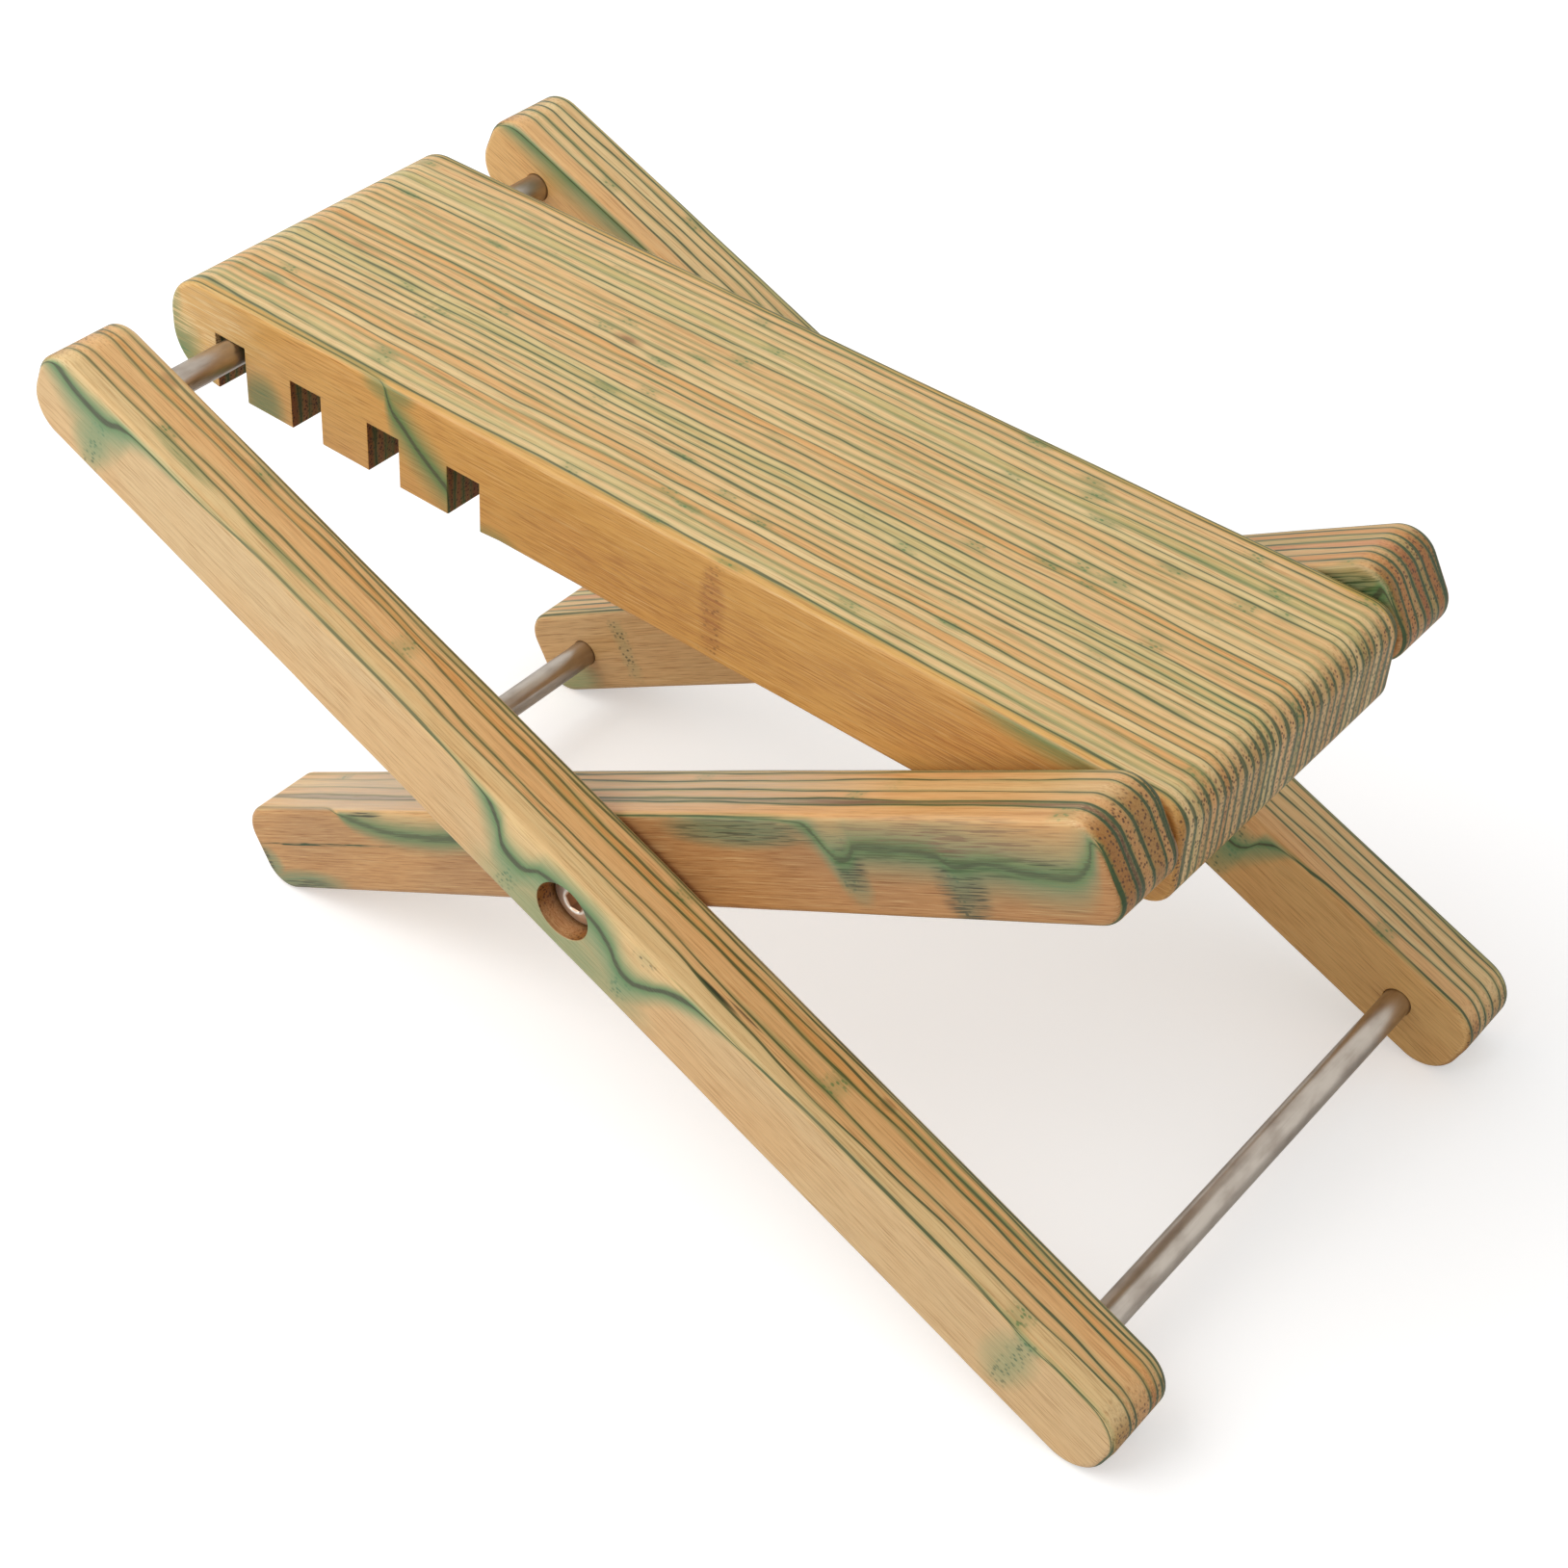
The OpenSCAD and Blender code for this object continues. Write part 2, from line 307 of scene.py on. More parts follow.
def bolt(name, node, body, material):
    """A bolt with a low conical head and a hexagon socket, all of soft edges."""
    low, high = [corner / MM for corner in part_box(node)]
    centre = (low + high) / 2
    outward = 1 if centre.y > 0 else -1
    top = high.y if outward > 0 else low.y
    length = high.y - low.y
    # Radius and depth below the top, from the socket's floor outwards and down the shank. Short
    # steps beside a corner make it soft.
    socket = [(SOCKET_R, SOCKET_DEPTH), (SOCKET_R, SOCKET_DEPTH - 0.15), (SOCKET_R, 0.4),
              (SOCKET_R + 0.1, 0.28)]
    head = [(SOCKET_MOUTH_R - 0.15, 0.06), (SOCKET_MOUTH_R, 0), (HEAD_FLAT_R - 0.4, 0),
            (HEAD_FLAT_R - 0.25, 0.04), (HEAD_FLAT_R - 0.1, 0.12), (HEAD_R - 0.3, HEAD_CONE - 0.08),
            (HEAD_R - 0.12, HEAD_CONE + 0.02), (HEAD_R - 0.03, HEAD_CONE + 0.15),
            (HEAD_R, HEAD_CONE + 0.3), (HEAD_R, HEAD_HEIGHT - 0.2), (HEAD_R - 0.1, HEAD_HEIGHT)]
    shank = [(SHANK_R + 0.1, HEAD_HEIGHT), (SHANK_R, HEAD_HEIGHT + 0.1),
             (SHANK_R, length - SHANK_SOFT), (SHANK_R - SHANK_SOFT, length)]
    mesh = bmesh.new()

    def ring(radius, sunk, hexagon):
        made = []
        for step in range(BOLT_STEPS):
            angle = 2 * math.pi * step / BOLT_STEPS
            reach = radius / math.cos(angle % (math.pi / 3) - math.pi / 6) if hexagon else radius
            spot = Vector((centre.x + reach * math.cos(angle), top - outward * sunk,
                           centre.z + reach * math.sin(angle)))
            made.append(mesh.verts.new(spot * MM))
        return made

    rings = [ring(radius, sunk, True) for radius, sunk in socket]
    rings += [ring(radius, sunk, False) for radius, sunk in head + shank]
    for first, second in zip(rings, rings[1:]):
        loop_faces(mesh, first, second)
    mesh.faces.new(rings[0])
    mesh.faces.new(rings[-1])
    finished(name, mesh, node, body, material)


def blind(face, inside, radius, depth):
    """The stations of a blind hole, from its mouth on a face to its floor."""
    return [(radius + HOLE_SOFT, face), (radius, face + inside * HOLE_SOFT),
            (radius, face + inside * depth)]


# Material nodes

def paint(red, green, blue):
    """A colour written as it shows on screen, from 0 to 255, as the shader takes it."""
    def linear(value):
        value /= 255
        return value / 12.92 if value <= 0.04045 else ((value + 0.055) / 1.055) ** 2.4
    return (linear(red), linear(green), linear(blue), 1)


class Signal:
    """A number that varies over a surface. Arithmetic on it adds nodes to its material."""

    def __init__(self, finish, socket):
        self.finish = finish
        self.socket = socket

    def math(self, operation, *others):
        return self.finish.math(operation, self, *others)

    def __add__(self, other):
        return self.math("ADD", other)

    def __sub__(self, other):
        return self.math("SUBTRACT", other)

    def __rsub__(self, other):
        return self.finish.math("SUBTRACT", other, self)

    def __mul__(self, other):
        return self.math("MULTIPLY", other)

    def __truediv__(self, other):
        return self.math("DIVIDE", other)

    def floor(self):
        return self.math("FLOOR")

    def fraction(self):
        return self.math("FRACT")

    def size(self):
        return self.math("ABSOLUTE")

    def root(self):
        return self.math("SQRT")

    def least(self, other):
        return self.math("MINIMUM", other)

    def most(self, other):
        return self.math("MAXIMUM", other)

    def over(self, other):
        return self.math("GREATER_THAN", other)

    def fade(self, start, end):
        """0 at start and 1 at end, with a soft course between them."""
        node = self.finish.node("ShaderNodeMapRange", interpolation_type="SMOOTHSTEP")
        self.finish.feed(node.inputs["Value"], self)
        node.inputs["From Min"].default_value = min(start, end)
        node.inputs["From Max"].default_value = max(start, end)
        node.inputs["To Min"].default_value = 0 if start < end else 1
        node.inputs["To Max"].default_value = 1 if start < end else 0
        return Signal(self.finish, node.outputs["Result"])


class Finish:
    """A material being written: its node tree and short names for the nodes used here."""

    def __init__(self, name):
        self.material = bpy.data.materials.new(name)
        self.material.use_nodes = True
        self.tree = self.material.node_tree
        self.shader = self.tree.nodes["Principled BSDF"]
        self.coordinates = self.node("ShaderNodeTexCoord")

    def node(self, kind, **settings):
        node = self.tree.nodes.new(kind)
        for setting, value in settings.items():
            setattr(node, setting, value)
        return node

    def feed(self, socket, value):
        """Links a signal or a socket to a socket, or writes a plain value there."""
        if isinstance(value, Signal):
            self.tree.links.new(value.socket, socket)
        elif isinstance(value, bpy.types.NodeSocket):
            self.tree.links.new(value, socket)
        else:
            socket.default_value = value

    def math(self, operation, *values):
        node = self.node("ShaderNodeMath", operation=operation)
        for socket, value in zip(node.inputs, values):
            self.feed(socket, value)
        return Signal(self, node.outputs[0])

    def split(self, socket):
        node = self.node("ShaderNodeSeparateXYZ")
        self.feed(node.inputs[0], socket)
        return [Signal(self, output) for output in node.outputs]

    def places(self, place):
        """The x, y and z in a board's own frame, in millimetres."""
        node = self.node("ShaderNodeMapping", vector_type="TEXTURE")
        self.feed(node.inputs["Vector"], self.coordinates.outputs["Object"])
        node.inputs["Location"].default_value = place.to_translation()
        node.inputs["Rotation"].default_value = place.to_euler()
        node.inputs["Scale"].default_value = (MM, MM, MM)
        return self.split(node.outputs[0])

    def facings(self, place):
        """How much the surface faces along each of a board's own axes, from -1 to 1."""
        node = self.node("ShaderNodeMapping", vector_type="VECTOR")
        self.feed(node.inputs["Vector"], self.coordinates.outputs["Normal"])
        node.inputs["Rotation"].default_value = place.inverted().to_euler()
        return self.split(node.outputs[0])

    def join(self, x, y, z):
        node = self.node("ShaderNodeCombineXYZ")
        for socket, value in zip(node.inputs, (x, y, z)):
            self.feed(socket, value)
        return node.outputs[0]

    def noise(self, x, y, z, detail=1, roughness=0.5):
        """Soft noise around 0, mostly within a half on either side."""
        node = self.node("ShaderNodeTexNoise")
        self.feed(node.inputs["Vector"], self.join(x, y, z))
        node.inputs["Scale"].default_value = 1
        node.inputs["Detail"].default_value = detail
        node.inputs["Roughness"].default_value = roughness
        return Signal(self, node.outputs[0]) - 0.5

    def cells(self, x, y, z):
        """The distance to the nearest of a scatter of points, about one to each unit cube."""
        node = self.node("ShaderNodeTexVoronoi", feature="F1")
        self.feed(node.inputs["Vector"], self.join(x, y, z))
        node.inputs["Scale"].default_value = 1
        return Signal(self, node.outputs["Distance"])

    def chance(self, number, seed):
        """A random number from 0 to 1 for each whole number."""
        node = self.node("ShaderNodeTexWhiteNoise", noise_dimensions="2D")
        self.feed(node.inputs["Vector"], self.join(number, seed, 0))
        return Signal(self, node.outputs["Value"])

    def drawn(self, signal, points, high):
        """A smooth line drawn through given points, from -high to high."""
        first = points[0][0]
        last = points[-1][0]
        node = self.node("ShaderNodeFloatCurve")
        curve = node.mapping.curves[0]
        places = [((at - first) / (last - first), (value + high) / (2 * high))
                  for at, value in points]
        curve.points[0].location = places[0]
        curve.points[1].location = places[-1]
        for at, value in places[1:-1]:
            curve.points.new(at, value)
        for point in curve.points:
            point.handle_type = "AUTO_CLAMPED"
        node.mapping.update()
        self.feed(node.inputs["Value"], (signal - first) / (last - first))
        return Signal(self, node.outputs[0]) * (2 * high) - high

    def mix(self, share, first, second, blend="MIX"):
        node = self.node("ShaderNodeMix", data_type="RGBA", blend_type=blend)
        self.feed(node.inputs[0], share)
        self.feed(node.inputs[6], first)
        self.feed(node.inputs[7], second)
        return node.outputs[2]

    def ramp(self, signal, stops):
        """A colour that runs through evenly spaced stops."""
        node = self.node("ShaderNodeValToRGB")
        elements = node.color_ramp.elements
        for index in range(1, len(stops) - 1):
            elements.new(index / (len(stops) - 1))
        for index, (element, colour) in enumerate(zip(elements, stops)):
            element.position = index / (len(stops) - 1)
            element.color = colour
        self.feed(node.inputs[0], signal)
        return node.outputs[0]

    def blob(self, x, z, spot):
        """1 in the middle of a soft ellipse (x, z, half length, half height) and 0 outside."""
        at_x, at_z, half_x, half_z = spot
        across_x = (x - at_x) / half_x
        across_z = (z - at_z) / half_z
        return (across_x * across_x + across_z * across_z).fade(1, 0)

    def apart(self, vector, point):
        """How far a vector is from a fixed point."""
        node = self.node("ShaderNodeVectorMath", operation="DISTANCE")
        self.feed(node.inputs[0], vector)
        node.inputs[1].default_value = point
        return Signal(self, node.outputs["Value"])

    def bump(self, height, depth):
        node = self.node("ShaderNodeBump")
        node.inputs["Strength"].default_value = 1
        node.inputs["Distance"].default_value = depth * MM
        self.feed(node.inputs["Height"], height)
        self.feed(self.shader.inputs["Normal"], node.outputs[0])


# Dyes and spots

GLUE = paint(38, 68, 32)
INK = paint(74, 72, 52)
GLUE_GREEN = paint(80, 126, 68)
TEAL = paint(102, 150, 108)
KNOT = paint(66, 66, 42)
VESSEL = paint(88, 54, 24)
# A dark brown for black splinters and spots, used also as painted shadow deep in the bores
SOOT_AND_SHADOW = paint(34, 28, 20)
TOBACCO = paint(168, 112, 62)

# Plies
TAN = paint(238, 200, 140)
PALE = paint(243, 211, 152)
PEACH = paint(240, 192, 130)
ORANGE = paint(234, 174, 104)
AMBER = paint(228, 164, 108)
OLIVE = paint(217, 196, 130)
UMBER = paint(138, 108, 80)

# These darken what they are multiplied with
FIBRE = paint(206, 184, 158)
# This brown is painted shade: it darkens the boards along their length where the light falls off, and the bolts'
# sockets
PAINTED_SHADE = paint(206, 176, 150)
END_GRAIN = paint(194, 172, 122)
NOTCH_BROWN = paint(150, 104, 78)
# A brown that is partly sawn wood and partly painted shade in the bores
SAWN_AND_SHADE = paint(196, 154, 128)

# Squared distances from a board's origin between which the colours of its bore begin
BORE_RIM = (71, 69)

# Between these places along the footplate its end grain is that of the notches
NOTCH_WALLS = (-284, -170)

# How far from 0 the drawn lines and spreads may go
LINE_HIGH = 40
SPREAD_HIGH = 20

# How far apart the knots of a ply are
KNOT_SPACING = 150

# The length and width in which the distance from a green smudge is counted
SMUDGE = (4.5, 1.3)

# A distance too large to be the nearest
FAR_OFF = 99


class Bamboo(Finish):
    """Laminated bamboo, laid over self.colour layer by layer.

    The plies are stacked across the footrest and run along the board, whose own x, y and z
    these signals use. buried: how deep under the nearer face; level: y as the wavy glue lines
    see it; number: counts the plies; lines: the distance to the nearest glue line; edge: the
    same for the outermost plies' lines; weight: how heavy the nearest line is, around 0.
    """

    def __init__(self, name, place, faces):
        super().__init__(name)
        self.x, self.y, self.z = self.places(place)
        facing_x, facing_y, self.facing_z = [facing.size() for facing in self.facings(place)]
        self.side = facing_y.fade(0.5, 0.85)
        self.end = facing_x.fade(0.4, 0.9)
        self.near_face, self.far_face = faces
        x, y, z = self.x, self.y, self.z
        self.slow = self.noise(x / 60, y / 3, z / 22, detail=2)
        self.streaks = self.noise(x / 24, y * 2, z * 2.3, detail=3, roughness=0.65)
        self.hatch = self.noise(x / 8, y * 4.4, z * 4.8, detail=2, roughness=0.6)
        self.strands = self.noise(x / 11, y * 2.6, z * 2.6).fade(0.02, 0.1)
        self.uneven = self.noise(x / 28, y / 2.2, z / 12, detail=2)
        self.dots = self.cells(x / 1.7, y / 1.1, z / 1.2).fade(0.44, 0.18)
        # The glue lines drift, apart from close under the faces
        self.buried = (y - self.near_face).least(self.far_face - y)
        self.free = self.buried.fade(0.4, 3)
        drift = self.noise(x / 75, y / 12, z / 40) * 3.4 + self.noise(x / 20, y / 3.5, z / 16) * 1.1
        self.level = y + drift * self.free
        self.edge_of_bore = (x * x + z * z).fade(*BORE_RIM)

    def lay(self, share, tint, blend="MIX"):
        """Lays a tint over the colour so far."""
        self.colour = self.mix(share, self.colour, tint, blend)

    def given_plies(self, plies):
        """Plies (where it ends, colour), from the near side."""
        self.colour = plies[0][1]
        self.number = self.x * 0
        self.lines = self.x * 0 + FAR_OFF
        self.weight = 0
        for index, ((bound, _), (_, after)) in enumerate(zip(plies, plies[1:])):
            wander = self.noise(self.x / 45, index * 5.3, self.z / 40) * 2.3 * self.free
            own = self.level + wander - bound
            step = own.over(0)
            self.lay(step, after)
            self.number = self.number + step
            self.lines = self.lines.least(own.size())

    def even_plies(self, tints, pitch, skin):
        """Plies of one thickness, each of a tint drawn by chance."""
        wander = self.noise(self.level / 6, 3.3, 0.5) * 1.7 * self.free
        stack = (self.level - self.near_face + wander) / pitch
        part = stack.fraction()
        no_line = (0.02 - self.buried).fade(-1.5, -1) * 9
        self.number = stack.floor()
        self.lines = part.least(1 - part) * pitch + no_line
        self.weight = self.chance((stack + 0.5).floor(), 11) - 0.5
        self.colour = self.ramp(self.chance(self.number, 7), tints)
        self.lay(self.buried.fade(pitch + 0.1, pitch - 0.1), skin)

    def ply_edge(self, depth, face):
        """Where a face's outermost ply thins out to nothing.

        Gives the height above that glue line into the board, and how strongly its dye shows on
        the face. Below the line the ply is left as a thin skin, and the dye shows through it.
        """
        above = self.z - self.drawn(self.x, face["line"], LINE_HIGH)
        gap = depth + above * face["slope"] + self.hatch * face["ragged"]
        spread = self.drawn(self.x, face["spread"], SPREAD_HIGH)
        away = above.most(0) * face["rise"] + (above * -1).most(0) + self.hatch * 5
        return gap, (away / spread.most(0.5)).fade(1.2, 0)

    def skins(self, near, far, skin):
        """The outermost plies, down to where they thin out."""
        self.near_gap, self.near_cloud = self.ply_edge(self.y - self.near_face, near)
        self.far_gap, self.far_cloud = self.ply_edge(self.far_face - self.y, far)
        self.edge = self.near_gap.size().least(self.far_gap.size())
        self.lay(self.near_gap.fade(0.02, -0.02), skin)
        self.lay(self.far_gap.fade(0.02, -0.02), skin)

    def fibres(self, shade_share):
        """The tone, with painted shade where the light falls off along the board, then fibres along the board."""
        self.lay(self.slow.fade(-0.15, 0.2) * 0.3, ORANGE)
        # Painted shade along the board, where the light falls off
        self.lay(shade_share, PAINTED_SHADE, "MULTIPLY")
        self.lay(self.streaks.fade(0, 0.22) * 0.7, FIBRE, "MULTIPLY")
        self.lay(self.streaks.fade(-0.02, -0.24) * 0.42, PALE)
        self.lay(self.hatch.fade(0.02, 0.24) * 0.55, FIBRE, "MULTIPLY")
        dashes = self.cells(self.x / 13, self.y * 2.4, self.z * 2.4).fade(0.36, 0.1)
        self.lay(dashes * self.side * 0.7, FIBRE, "MULTIPLY")

    def end_grain(self, darker):
        """The darker ends, with a dot for each vessel."""
        self.vessels = self.cells(self.x / 30, self.y * 1.15, self.z * 1.15).fade(0.48, 0.2)
        deep = self.chance(self.number, 4).fade(0.25, 1)
        self.lay(self.end * (deep * 0.5 + darker), END_GRAIN, "MULTIPLY")
        self.lay(self.vessels * (self.end * 0.85 + 0.08), VESSEL)

    def bore_walls(self):
        """Bores are painted browner than the faces, partly as sawn wood and partly as painted shade, and darker
        deep inside as painted shadow.
        """
        bored = self.edge_of_bore * self.buried.fade(0.05, 0.2)
        self.lay(bored * (self.hatch + 0.8), SAWN_AND_SHADE, "MULTIPLY")
        # Painted shadow deep inside the bores
        self.lay(bored * self.buried.fade(3, 7) * 0.6, SOOT_AND_SHADOW)

    def ply_knots(self):
        """A green knot here and there along each ply."""
        along = self.x / KNOT_SPACING + self.chance(self.number, 2)
        away = (along.fraction() - 0.5 + self.hatch * 0.02).size() * KNOT_SPACING
        chosen = self.chance(self.number + along.floor() * 17, 5)
        shown = away.fade(5, 0.5) * chosen.fade(0.3, 0.6) * (1 - self.side)
        self.lay(shown * (self.dots * 0.5 + 0.3), GLUE_GREEN)

    def face_knots(self, face, gap):
        """Speckled bands across a face where its ply has a knot."""
        band = None
        for at, middle_z, half in face["knots"]:
            wander = self.noise(self.z / 5, at, self.y / 8) * 4
            along = (self.x - at + wander).size().fade(4.5, 0.5)
            one = along * (self.z - middle_z).size().fade(half + 2, half - 2)
            band = one if band is None else band.most(one)
        if band is not None:
            shown = band * self.side * (gap.size() + self.buried).fade(4, 2)
            self.lay(shown * 0.22, face["knot_colour"])
            self.lay(shown * self.dots * 0.8, face["speck_colour"])

    def dye_clouds(self, near):
        """The dye that shows through the faces."""
        depth = self.y - self.near_face
        far_depth = self.far_face - self.y
        cloud = self.near_cloud * self.buried.fade(1, 0) * far_depth.fade(1, 3)
        cloud = cloud.most(self.far_cloud * far_depth.fade(1, 0))
        for *spot, share in near["spots"]:
            cloud = cloud.most(self.blob(self.x, self.z, spot) * depth.fade(3, 1) * share)
        self.lay(cloud * (self.hatch * 0.9 + 0.82) * self.side, near["dye"])

    def touch_up(self, touches, flecks):
        """Streaky tints: (spot, colour, share) on the near face, and on top for flecks."""
        depth = self.y - self.near_face
        for spot, tint, share in touches:
            touched = self.blob(self.x, self.z, spot) * depth.fade(3, 1)
            self.lay(touched * (self.strands + self.hatch * 1.4 + 0.3) * share, tint)
        for spot, tint, share in flecks:
            flecked = self.blob(self.x, self.y, spot) * self.facing_z.fade(0.7, 0.9)
            self.lay(flecked * self.z.over(0) * (self.hatch + share), tint)

    def details(self, near, far, touches, flecks):
        """What every board has: bores, knots, dye on its faces and touches of other tints."""
        self.bore_walls()
        self.ply_knots()
        self.face_knots(near, self.near_gap)
        self.face_knots(far, self.far_gap)
        self.dye_clouds(near)
        self.touch_up(touches, flecks)

    def top_marks(self, marks):
        """Green smudges at places (x, y) on top."""
        length, width = SMUDGE
        flat = self.join(self.x / length, self.y / width, 0)
        nearest = self.x * 0 + FAR_OFF
        for at_x, at_y in marks:
            nearest = nearest.least(self.apart(flat, (at_x / length, at_y / width, 0)))
        mark = (nearest + self.hatch * 1.5).fade(1.5, 0.2) * self.facing_z.fade(0.7, 0.95)
        self.lay(mark * (self.dots * 0.4 + 0.5), GLUE_GREEN)

    def glue_lines(self, near, base_width, shown, depth_of_dye):
        """Green fringes, the dark glue itself, and a thread of ink where it meets a face."""
        at_bore = self.edge_of_bore * (1 - self.side)
        width = base_width + self.uneven * 0.44 + self.weight * 0.22
        strength = self.uneven * 1.3 + self.end * 0.3 + 0.93 + self.weight * 0.5
        strength = strength.least(1) * shown
        clear_of_side = (self.side.fade(0.8, 1) + at_bore) * 9
        self.glue = (self.lines + at_bore * 9).least(self.edge * 0.9 + clear_of_side)
        fringe = (self.glue + self.hatch * 0.8 + self.uneven).fade(1.2, 0.1) * shown
        self.lay(fringe * (self.slow * 1.2 + 0.44), GLUE_GREEN)
        self.lay((self.glue - width).fade(0.12, -0.05) * strength * depth_of_dye, GLUE)
        self.lay((self.edge + self.hatch * 0.2).fade(0.28, 0.02) * self.side * 0.55, GLUE_GREEN)
        thread = (self.edge + self.hatch * 0.08 + self.uneven * 0.06).fade(0.09, 0.02)
        thread = (thread * (self.hatch * 1.8 + 0.9)).least(0.85)
        self.lay(thread * self.side * near["thread"], INK)

    def shine(self):
        """Feeds the colour to the shader, with an oiled gloss and a fine grain."""
        self.feed(self.shader.inputs["Base Color"], self.colour)
        self.feed(self.shader.inputs["Roughness"], self.streaks * 0.12 + self.vessels * 0.06 + 0.42)
        self.shader.inputs["Specular IOR Level"].default_value = 0.35
        self.shader.inputs["Coat Weight"].default_value = 0.12
        self.shader.inputs["Coat Roughness"].default_value = 0.28
        grain = self.streaks * 0.5 + self.hatch * 0.4 - self.vessels * 0.5
        self.bump(grain - self.glue.fade(0.25, 0.05) * 0.6, 0.05)


def leg_bamboo(name, place, faces, plies, near, far, skin, shade_falloff, touches=(), flecks=(),
               faint=(0, 1, 0)):
    """The bamboo of a leg, of few plies.

    faces: where the near and far faces lie, which near and far describe; plies: (where it
    ends, colour) from the near side; skin: the colour of the outermost plies; shade_falloff:
    between which places along the leg painted shade darkens it where the light falls off, and
    how much, and faint likewise where its glue lines are weaker; touches: (spot, colour,
    share) on the near face, and flecks on top.
    """
    wood = Bamboo(name, place, faces)
    wood.given_plies(plies)
    wood.skins(near, far, skin)
    # Painted shade along the leg, where the light falls off
    wood.fibres(wood.x.fade(*shade_falloff[:2]) * shade_falloff[2])
    wood.end_grain(0.5)
    wood.details(near, far, touches, flecks)
    shown = 1 - wood.x.fade(*faint[:2]) * faint[2]
    wood.glue_lines(near, wood.end * 0.16 + 0.25, shown, 0.86)
    wood.shine()
    return wood.material


def plate_bamboo(name, place, faces, tints, pitch, near, far, skin, shade_falloff, marks, touches, flecks):
    """The bamboo of the footplate, of many plies.

    Like a leg's, but each ply is as thick as pitch and has one of the tints, and marks are
    the places (x, y) of green smudges on top.
    """
    wood = Bamboo(name, place, faces)
    wood.even_plies(tints, pitch, skin)
    wood.skins(near, far, skin)
    # Painted shade on the faces along the footplate, where the light falls off
    wood.fibres(wood.x.fade(*shade_falloff[:2]) * shade_falloff[2] * wood.side)
    wood.end_grain(0.25)
    walls = wood.end * wood.x.over(NOTCH_WALLS[0]) * (1 - wood.x.over(NOTCH_WALLS[1]))
    wood.lay(walls * 0.8, NOTCH_BROWN, "MULTIPLY")
    wood.details(near, far, touches, flecks)
    wood.top_marks(marks)
    wood.glue_lines(near, wood.end * 0.34 + 0.15 - walls * 0.36, 1, 0.75)
    wood.shine()
    return wood.material


def steel(name, colour, shade, roughness, grain, socket_r=0):
    """Satin steel, drawn along Y, with a faint brown bloom, fine scratches and painted shade in the socket."""
    finish = Finish(name)
    x, y, z = finish.places(Matrix())
    drawn = finish.noise(x * grain, y / 25, z * grain, detail=2)
    bloom = finish.noise(x / 5, y / 12, z / 5, detail=3)
    mixed = finish.mix(bloom.fade(-0.15, 0.25) * 0.6, colour, shade)
    mixed = finish.mix(drawn.fade(0, 0.4) * 0.35, mixed, shade)
    # Painted shade: inside the socket the colour is darker, as the recess is in shade
    if socket_r:
        away_x = x - pivot.x / MM
        away_z = z - pivot.z / MM
        distance = (away_x * away_x + away_z * away_z).root()
        mixed = finish.mix(distance.fade(socket_r + 0.1, socket_r - 0.1), mixed, PAINTED_SHADE)
    finish.feed(finish.shader.inputs["Base Color"], mixed)
    finish.shader.inputs["Metallic"].default_value = 1
    finish.feed(finish.shader.inputs["Roughness"], drawn * 0.18 + bloom * 0.1 + roughness)
    finish.bump(drawn, 0.008)
    return finish.material


# Rims and bores of the boards

outer_low, outer_high = extents("outer_leg_near", outer_place)
inner_low, inner_high = extents("inner_leg_near", inner_place)
plate_low, plate_high = extents("footplate", plate_place)
notch_rod = (plate_place.inverted() @ middle("notch_rod")) / MM
outer_rods = [(outer_place.inverted() @ middle(node)).x / MM
              for node in ("notch_rod", "outer_foot_rod")]
inner_rods = [(inner_place.inverted() @ middle(node)).x / MM
              for node in ("hinge_rod", "inner_foot_rod")]


def wavering(radius, seed):
    """A rim radius that varies a little along the board, as a hand-sanded one does."""
    def soft(x, z):
        return radius * (1 + WAVER * noise.noise((x / WAVER_LENGTH, seed, z / WAVER_LENGTH)))
    return soft


def plate_soft(x, z):
    """The footplate's rims are soft, apart from those of its notches and teeth."""
    row_end = notch_rod.x + (NOTCH_COUNT - 1) * NOTCH_PITCH + NOTCH_W
    in_notch = plate_low[2] + 0.1 < z < plate_low[2] + FIRST_NOTCH_DEPTH + 0.5
    near_row = plate_low[0] + PLATE_NOSE_R + 1 < x < row_end
    if near_row and in_notch:
        return SAWN_SOFT
    if near_row and z < 0:
        return SAWN_SOFT * 2
    return wavering(PLATE_SOFT, 3)(x, z)


def counterbored(outer, inner, inside):
    """The stations of an outer leg's pivot hole, wider where the bolt's head lies."""
    seat = outer + inside * COUNTERBORE_DEPTH
    shank = SHANK_R + TURN_PLAY
    return [(COUNTERBORE_R + COUNTERBORE_SOFT, outer),
            (COUNTERBORE_R, outer + inside * COUNTERBORE_SOFT),
            (COUNTERBORE_R, seat), (shank, seat), (shank, inner)]


def insert_hole(outer, inner, inside):
    """The stations of an inner leg's hole for the threaded insert, which ends in the wood."""
    return blind(outer, inside, INSERT_R + GLUE_PLAY, INSERT_HOLE_DEPTH)


def leg_bores(pivot_hole, rods, inside):
    """Bores of a leg: its hole at the pivot and, in its inner face, two rod sockets.

    inside: 1 where the inner face is the one at the higher Y, or -1.
    """
    def bores(low, high):
        inner, outer = (high[1], low[1]) if inside > 0 else (low[1], high[1])
        socket = blind(inner, -inside, ROD_R + GLUE_PLAY, ROD_HOLE_DEPTH)
        return [((0, 0), pivot_hole(outer, inner, inside))] + [((at, 0), socket) for at in rods]
    return bores


def plate_bores(low, high):
    """The footplate's hinge bore, from face to face."""
    radius = ROD_R + TURN_PLAY
    return [((0, 0), [(radius + HOLE_SOFT, low[1]), (radius, low[1] + HOLE_SOFT),
                      (radius, high[1] - HOLE_SOFT), (radius + HOLE_SOFT, high[1])])]


# The faces of the boards

